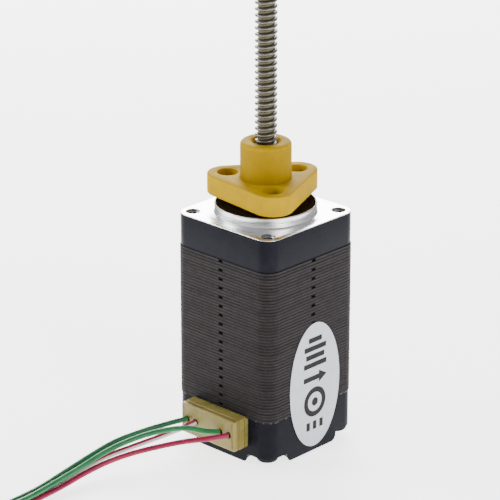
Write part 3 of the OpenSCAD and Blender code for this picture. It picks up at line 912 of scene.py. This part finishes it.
def add_front_cap():
    """The front cap: painted sides, a face-turned front with its pilot, and threaded corner holes."""
    cap = cap_shell("front_cap_casting", STACK_TOP, FACE_Z, 0.12, 0.1, [PAINT, MACHINED, PILOT_DISC, TAPPED])
    rim = 0.2
    recess = 0.1
    foot = 0.15
    groove = 0.09
    chamfer = 0.12
    pilot = [(PILOT_R + foot, FACE_Z - 0.6)]
    pilot += [(PILOT_R + inset, FACE_Z + rise) for inset, rise in quarter(foot)]
    middle = (FACE_Z + PILOT_TOP) / 2
    pilot += [(PILOT_R, middle - 0.08), (PILOT_R - groove, middle - 0.03), (PILOT_R - groove, middle + 0.03)]
    pilot += [(PILOT_R, middle + 0.08), (PILOT_R, PILOT_TOP - chamfer), (PILOT_R - chamfer, PILOT_TOP)]
    pilot += [(PILOT_R - rim, PILOT_TOP), (PILOT_R - rim - 0.06, PILOT_TOP - recess)]
    pilot += [(3.4, PILOT_TOP - recess)]
    combine(cap, [turned_solid("pilot_boss", pilot, [PAINT], 128)], "UNION")
    below = STACK_TOP - 1
    bearing_seat = [(BEARING_SEAT_R, below), (BEARING_SEAT_R, FACE_Z + 1)]
    through = [(3.0, below), (3.0, PILOT_TOP - recess - 0.25), (3.25, PILOT_TOP + 0.5)]
    tools = [tool_lathe(bearing_seat), tool_lathe(through), cavity_tool(below, STACK_TOP + 3)]
    tools += corner_tools([(BODY_SCREW_HOLE_R, below), (BODY_SCREW_HOLE_R, BODY_SCREW_HOLE_TOP)], 28)
    hole = [(THREAD_HOLE_R, STACK_TOP + 1), (THREAD_HOLE_R, FACE_Z - 0.16)]
    tools += corner_tools(hole + [(1.2, FACE_Z + 0.04), (1.2, FACE_Z + 1)])
    tools += thread_grooves()
    cut(cap, tools, 32)
    for face in cap.data.polygons:
        face.material_index = front_cap_slot(face, recess)
    place(cap, "motor", "front_cap", slot="black_cap")


def thread_grooves():
    """Ring cutters that show the M2 threads inside the four holes."""
    tools = []
    pitch = 0.4
    groove = [(0.9, -0.2), (THREAD_HOLE_R, -0.17), (1.13, 0), (THREAD_HOLE_R, 0.17), (0.9, 0.2)]
    for k in range(6):
        middle = FACE_Z - 0.35 - k * pitch
        tools += corner_tools([(r, middle + z) for r, z in groove], 28)
    return tools


def front_cap_slot(face, recess):
    """The material index of a front cap face: 0 painted, 1 machined, 2 the dark disc, 3 a tapped hole."""
    x, y, z = [c / MM for c in face.center]
    r = math.hypot(x, y)
    if math.hypot(abs(x) - HOLE_XY, abs(y) - HOLE_XY) < 1.19 and z < FACE_Z - 0.01 and z > STACK_TOP + 0.1:
        return 3
    if z > PILOT_TOP - recess - 0.3 and r < PILOT_R - 0.3:
        return 2
    return int(z > FACE_Z - 0.02 or z > FACE_Z - 0.11 and r > PILOT_R)


def add_rear_cap():
    """The rear cap: relieved corners, a window for the connector and the bearing's pocket."""
    cap = cap_shell("rear_cap_casting", 0.0, STACK_Z, 0.3, 0.08, [PAINT])
    top = STACK_Z + 1
    tools = [cavity_tool(4.4, top), tool_lathe([(HUB_R + 0.2, 6.6), (HUB_R + 0.2, top)])]
    tools.append(tool_lathe([(BEARING_SEAT_R, 2.0), (BEARING_SEAT_R, top)]))
    tools.append(tool_lathe([(3.1, -1), (3.1, 0.0), (3.0, 0.3)]))
    relief = [(4.1, -1), (4.1, 0.0), (3.72, 0.12), (3.42, 0.34)]
    relief += [(3.2, 0.72), (3.1, 1.1), (3.1, 1.5), (3.0, 1.6)]
    tools += corner_tools(relief, 56)
    tools += corner_tools([(BODY_SCREW_HOLE_R, 1), (BODY_SCREW_HOLE_R, top)], 24)
    half = span("connector_header", 0)[1] + 0.05
    tools.append(rounded_box("tool", (-half, -11.5, 2.9), (half, -8.85, top), 0.05, [], 1))
    tools.append(rounded_box("tool", (-half + 0.4, -9.2, 4.4), (half - 0.4, -7.0, top), 0.05, [], 1))
    cut(cap, tools, 32)
    place(cap, "motor", "rear_cap", slot="black_cap")


def add_body_screws():
    """Four pan-head screws with cross recesses, seen in the rear cap's corners."""
    head_low = 0.65
    head_top = 1.6
    head_r = 1.7
    shank_r = 1.15
    pitch = 0.4
    length_top = span("body_screws", 2)[1]
    for index, (x, y) in enumerate(((-1, -1), (1, -1), (1, 1), (-1, 1))):
        centre = (x * HOLE_XY, y * HOLE_XY)
        profile = [(0.05, head_low), (0.7, head_low + 0.01)]
        profile += [(head_r - inset, head_low + 0.1 + rise) for inset, rise in quarter(0.45)]
        profile += [(head_r, head_top), (shank_r, head_top)]
        z = head_top
        while z < length_top - 0.9:
            profile += [(shank_r, z + 0.1), (shank_r - 0.15, z + 0.3)]
            z += pitch
        profile += [(shank_r - 0.1, length_top - 0.3), (shank_r - 0.3, length_top), (0.05, length_top)]
        screw = turned_solid(f"body_screw_{index + 1}", profile, [BLACK_OXIDE], 40, centre, 40)
        arms = []
        for w, d in ((0.95, 0.17), (0.17, 0.95)):
            low = (centre[0] - w, centre[1] - d, head_low - 0.3)
            high = (centre[0] + w, centre[1] + d, head_low + 0.5)
            arms.append(rounded_box("tool", low, high, 0.04, [], 1))
        cut(screw, arms, 40)
        place(screw, "motor", "body_screws", slot="black_screw")


# ---- lead screw and nut


def thread_radius(z, angle, outer, depth):
    """The radius of a right-hand thread at a height and angle: round crests and flat roots."""
    phase = (z / LEAD - angle / (2 * math.pi)) % 1.0
    flank = abs(phase - 0.5) * 2
    level = ease(flank, 0.30, 0.74)
    crown = 1 - 0.10 * (1 - ease(flank, 0.62, 1.0))
    return outer - depth * (1 - level * crown)


def screw_grid(low, high, rows_per_mm, steps, outer, depth_at):
    """Rows of points of a threaded surface between two heights."""
    rows = []
    count = int((high - low) * rows_per_mm) + 1
    for i in range(count):
        z = low + (high - low) * i / (count - 1)
        radii = [thread_radius(z, 2 * math.pi * k / steps, outer, depth_at(z)) for k in range(steps)]
        rows.append([(r * x, r * y, z) for r, (x, y) in zip(radii, circle(1, steps))])
    return rows


def add_lead_screw():
    """The whole shaft: rear journal, shoulder and a rolled right-hand thread to its chamfered end."""
    steps = 56
    shoulder = PILOT_TOP - 0.6
    start = shoulder + 0.5
    end = SCREW_TOP - 0.35

    def depth_at(z):
        return THREAD_DEPTH * ease(z, start, start + 0.9)

    profile = [(0.2, SCREW_BOTTOM), (JOURNAL_R - 0.25, SCREW_BOTTOM), (JOURNAL_R, SCREW_BOTTOM + 0.25),
               (JOURNAL_R, shoulder), (SCREW_R - 0.08, shoulder), (SCREW_R, shoulder + 0.08)]
    rows = [ring(r, z, steps) for r, z in profile]
    rows += screw_grid(start, end, 16, steps, SCREW_R, depth_at)
    rim = []
    for x, y, z in rows[-1]:
        r = min(math.hypot(x, y), SCREW_R - 0.3)
        a = math.atan2(y, x)
        rim.append((r * math.cos(a), r * math.sin(a), SCREW_TOP - 0.06))
    rows += [rim, ring(1.1, SCREW_TOP, steps), ring(0.2, SCREW_TOP, steps)]
    screw = finish_mesh("lead_screw_shaft", *loft(rows), [ROLLED], 50)
    place(screw, "rotor", "lead_screw", slot="screw_steel")


def flange_outline(inset):
    """The flange: a triangle with round corners that follow its three holes."""
    outline = []
    for k in range(3):
        centre = NUT_ANGLE + 120 * k
        a = math.radians(centre)
        x, y = HOLE_RING * math.cos(a), HOLE_RING * math.sin(a)
        outline += arc(x, y, FLANGE_CORNER - inset, centre - 60, centre + 60, 16)
    return outline


def add_nut():
    """The moulded nut: flange, barrel with round edges, three holes and a threaded bore."""
    edge = 0.22
    flange_top = NUT_Z + NUT_FLANGE
    flange = edged_solid(flange_outline, NUT_Z, flange_top, edge, edge)
    nut = finish_mesh("nut_moulding", *flange, [ACETAL], 40)
    barrel_r = 4.0
    hole_r = 1.6
    mouth_r = 1.78
    top_edge = 0.62
    foot = 0.12
    profile = [(3.0, NUT_Z + 1), (barrel_r + foot, NUT_Z + 1), (barrel_r + foot, flange_top - 0.05)]
    profile += [(barrel_r + inset, flange_top + rise) for inset, rise in quarter(foot)]
    profile += [(barrel_r - inset, NUT_TOP - rise) for inset, rise in reversed(quarter(top_edge, 5))]
    profile += [(1.0, NUT_TOP)]
    combine(nut, [turned_solid("barrel", profile, [ACETAL], 112)], "UNION")
    tools = [nut_bore_tool()]
    funnel = [(1.7, NUT_TOP - 0.75), (2.32, NUT_TOP - 0.08), (2.5, NUT_TOP + 0.02), (2.5, NUT_TOP + 1)]
    tools.append(tool_lathe(funnel, 72))
    tools.append(tool_lathe([(2.5, NUT_Z - 1), (2.45, NUT_Z), (1.7, NUT_Z + 0.6)], 72))
    for k in range(3):
        a = math.radians(NUT_ANGLE + 120 * k)
        centre = (HOLE_RING * math.cos(a), HOLE_RING * math.sin(a))
        hole = [(mouth_r, NUT_Z - 1), (mouth_r, NUT_Z - 0.01), (hole_r, NUT_Z + 0.15)]
        hole += [(hole_r, flange_top - 0.15), (hole_r + 0.05, flange_top - 0.04)]
        hole += [(mouth_r, flange_top + 0.01), (mouth_r, flange_top + 1)]
        tools.append(tool_lathe(hole, 56, centre))
    cut(nut, tools, 40)
    place(nut, "nut", "nut", slot="nut_plastic")


def nut_bore_tool():
    """The screw's thread, a little larger, as the cutter of the nut's thread."""
    gap = 0.07
    rows = screw_grid(NUT_Z - 0.5, NUT_TOP + 0.5, 14, 56, SCREW_R + gap, lambda z: THREAD_DEPTH)
    return finish_mesh("tool", *loft(rows), [])


# ---- connector


def side_groove(side, x1, depth, y0, y1, z0, z1, r):
    """A cutter for an upright groove in the connector's left (-1) or right (1) side."""
    near, far = sorted((side * (x1 - depth), side * (x1 + 1)))
    return rounded_box("tool", (near, y0, z0 - 1), (far, y1, z1 + 1), r, [], 1)


def pin_tool(x, half, y0, y1, r):
    """A square cutter along Y at a pin's place."""
    low = (x - half, y0, CONNECTOR_Z - half)
    return rounded_box("tool", low, (x + half, y1, CONNECTOR_Z + half), r, [], 1)


def add_header():
    """The header: a shroud with side ribs, standing in the rear cap's window."""
    (_, x1), (y0, y1), (z0, z1) = spans("connector_header")
    wall = -BODY_W / 2
    shroud = 0.55
    floor = -10.05
    back_x = x1 - 0.05
    header = rounded_box("header_shroud", (-x1, y0, z0), (x1, wall - 0.06, z1), 0.16, [HEADER_NYLON])
    low = (-back_x, wall - 0.5, z0 + 0.05)
    combine(header, [rounded_box("back", low, (back_x, y1, STACK_Z - 0.06), 0.08, [HEADER_NYLON])], "UNION")
    low = (shroud - x1, y0 - 1, z0 + shroud)
    tools = [rounded_box("tool", low, (x1 - shroud, floor, z1 - shroud), 0.12, [])]
    for side in (-1, 1):
        for y, depth in ((y0 + 1.3, 0.16), (y0 + 0.05, 0.1)):
            tools.append(side_groove(side, x1, depth, y, y + 0.16, z0, z1, 0.03))
    tools += [pin_tool(x, 0.25, floor - 1.95, floor + 2.05, 0.01) for x in PIN_COLUMNS]
    cut(header, tools, 40)
    place(header, "motor", "connector_header", slot="connector_plastic")


def add_plug():
    """The plug: a lipped housing with six cavities, a hole for each lead and grooved sides."""
    (_, x1), (y0, y1), (z0, z1) = spans("plug_housing")
    lip = y0 + 1.0
    plug = rounded_box("plug_shell", (-x1, y0, z0), (x1, lip, z1), 0.2, [PLUG_NYLON])
    step = 0.6
    hole_r = 0.53
    low = (step - x1, lip - 0.3, z0 + step)
    core = rounded_box("core", low, (x1 - step, y1, z1 - step), 0.1, [PLUG_NYLON])
    combine(plug, [core], "UNION")
    tools = []
    for k, column in enumerate(PIN_COLUMNS):
        if k in LEAD_COLUMNS:
            loops = [[(x, y0 + y, z) for x, z in circle(r, 32, (column, CONNECTOR_Z))]
                     for r, y in ((hole_r + 0.07, -0.3), (hole_r, 0.1), (hole_r, 1.2))]
            tools.append(finish_mesh("tool", *loft(loops), []))
        tools.append(pin_tool(column, 0.5, y0 + 0.6, y1 + 1, 0.05))
    for side in (-1, 1):
        tools.append(side_groove(side, x1, 0.14, lip - 0.14, lip + 0.05, z0, z1, 0.02))
        for x in (5.15, 5.4):
            low = (side * x - 0.05, y0 - 0.5, z0 + 0.45)
            high = (side * x + 0.05, y0 + 0.1, z1 - 0.4)
            tools.append(rounded_box("tool", low, high, 0.02, [], 1))
    cut(plug, tools, 40)
    place(plug, "motor", "plug_housing", slot="connector_plastic")


# ---- label


def plate(name, outline, x0, x1, material, inner=None):
    """A thin plate on the +X side from an outline of (y, z), with an optional hole of as many points."""

    def at(ring, x):
        return [(x, y, z) for y, z in ring]

    loops = [at(outline, x0), at(outline, x1)]
    if inner:
        loops += [at(inner, x1), at(inner, x0), loops[0]]
    return finish_mesh(name, *loft(loops, close=not inner), [material], 30)


def rectangle(y, low, width, height):
    """An upright outline centred on y and standing on low."""
    half = width / 2
    return [(y - half, low), (y + half, low), (y + half, low + height), (y - half, low + height)]


def add_label():
    """The oval label with a plain generic pattern: a ring with a dot, an arrow, bars and ticks."""
    _, (y0, y1), (z0, z1) = spans("label")
    cy = (y0 + y1) / 2
    cz = (z0 + z1) / 2
    x0 = BODY_W / 2 + 0.005
    x1 = x0 + 0.05
    oval = [(cy + y * (y1 - y0) / 2, cz + z * (z1 - z0) / 2) for y, z in circle(1, 96)]
    paper = plate("label_oval", oval, x0, x1, LABEL_PAPER)
    place(paper, "motor", "label", slot="label_paper")

    def ink(name, outline, inner=None):
        mark = plate("label_" + name, outline, x1 - 0.01, x1 + 0.012, LABEL_INK, inner)
        place(mark, "motor", slot="label_paper")

    dial = (cy, cz - 2.9)
    ink("ring", circle(2.5, 64, dial), circle(1.6, 64, dial))
    ink("dot", circle(0.7, 32, dial))
    arrow = [(cy - 2.6, cz + 1.65), (cy - 2.6, cz + 0.8), (cy + 0.9, cz + 0.8), (cy + 0.9, cz + 0.2)]
    arrow += [(cy + 2.7, cz + 1.22), (cy + 0.9, cz + 2.25), (cy + 0.9, cz + 1.65)]
    ink("arrow", arrow)
    for k, (width, low) in enumerate(((5.2, 3.1), (4.2, 4.5), (5.0, 5.9), (3.0, 7.3))):
        ink(f"bar_{k + 1}", rectangle(cy, cz + low, width, 0.85))
    for k in range(3):
        ink(f"tick_{k + 1}", rectangle(cy - 1.5 + 1.5 * k, cz - 7.6, 0.8, 1.4))


# ---- inner parts


def dress_inner_parts():
    """Gives each carried-over CAD node its material and a fine bevel on its sharp edges."""
    bearing = turned_metal("bearing_steel", (0.70, 0.70, 0.71), (0.82, 0.82, 0.83), (0.14, 0.24))
    shield = turned_metal("shield_steel", (0.52, 0.52, 0.53), (0.66, 0.66, 0.67), (0.24, 0.36))
    rotor = turned_metal("rotor_steel", (0.34, 0.34, 0.35), (0.46, 0.46, 0.47), (0.28, 0.42))
    magnet = turned_metal("magnet_plate", (0.42, 0.41, 0.39), (0.52, 0.51, 0.48), (0.2, 0.3))
    brass = turned_metal("turned_brass", (0.66, 0.50, 0.22), (0.78, 0.62, 0.32), (0.2, 0.34))
    spring = turned_metal("spring_steel", (0.44, 0.44, 0.45), (0.60, 0.60, 0.61), (0.22, 0.34))
    nylon = plain_material("frame_nylon", (0.62, 0.59, 0.50), (0.74, 0.71, 0.62), (0.4, 0.55))
    board = plain_material("solder_mask", (0.015, 0.10, 0.035), (0.03, 0.16, 0.06), (0.25, 0.4), scale=1200)
    gold = plain_material("pin_plating", (0.70, 0.52, 0.22), (0.82, 0.66, 0.34), (0.18, 0.3), 1.0)
    looks = [
        (nylon, ["rear_insulator", "front_insulator"]),
        (winding_material(), ["phase_a_coils", "phase_b_coils"]),
        (spring, ["wave_washer"]),
        (rotor, [f"rotor_cup_{k}" for k in range(1, 5)]),
        (magnet, ["rotor_magnet_1", "rotor_magnet_2"]),
        (brass, ["rotor_spacer", "rear_sleeve", "front_sleeve", "rear_bearing_cage", "front_bearing_cage"]),
        (board, ["circuit_board"]),
        (gold, ["header_pins"]),
        (TINNED, ["crimp_terminals"]),
        (bearing, [f"rear_bearing_{part}" for part in ("outer", "inner", "balls")]),
        (bearing, [f"front_bearing_{part}" for part in ("outer", "inner", "balls")]),
        (shield, ["rear_bearing_shields", "front_bearing_shields"]),
    ]
    for material, names in looks:
        for node in [nodes[name] for name in names]:
            if not node.material_slots:
                node.data.materials.append(material)
            for slot in node.material_slots:
                slot.material = material
            bevel = node.modifiers.new("edges", "BEVEL")
            bevel.width = 0.04 * MM
            bevel.segments = 2
            bevel.limit_method = "ANGLE"
            bevel.angle_limit = math.radians(50)


add_camera()
add_leads()
add_tie()
add_lights()
add_floor()
add_stack()
add_front_cap()
add_rear_cap()
add_body_screws()
add_lead_screw()
add_nut()
add_header()
add_plug()
add_label()
dress_inner_parts()
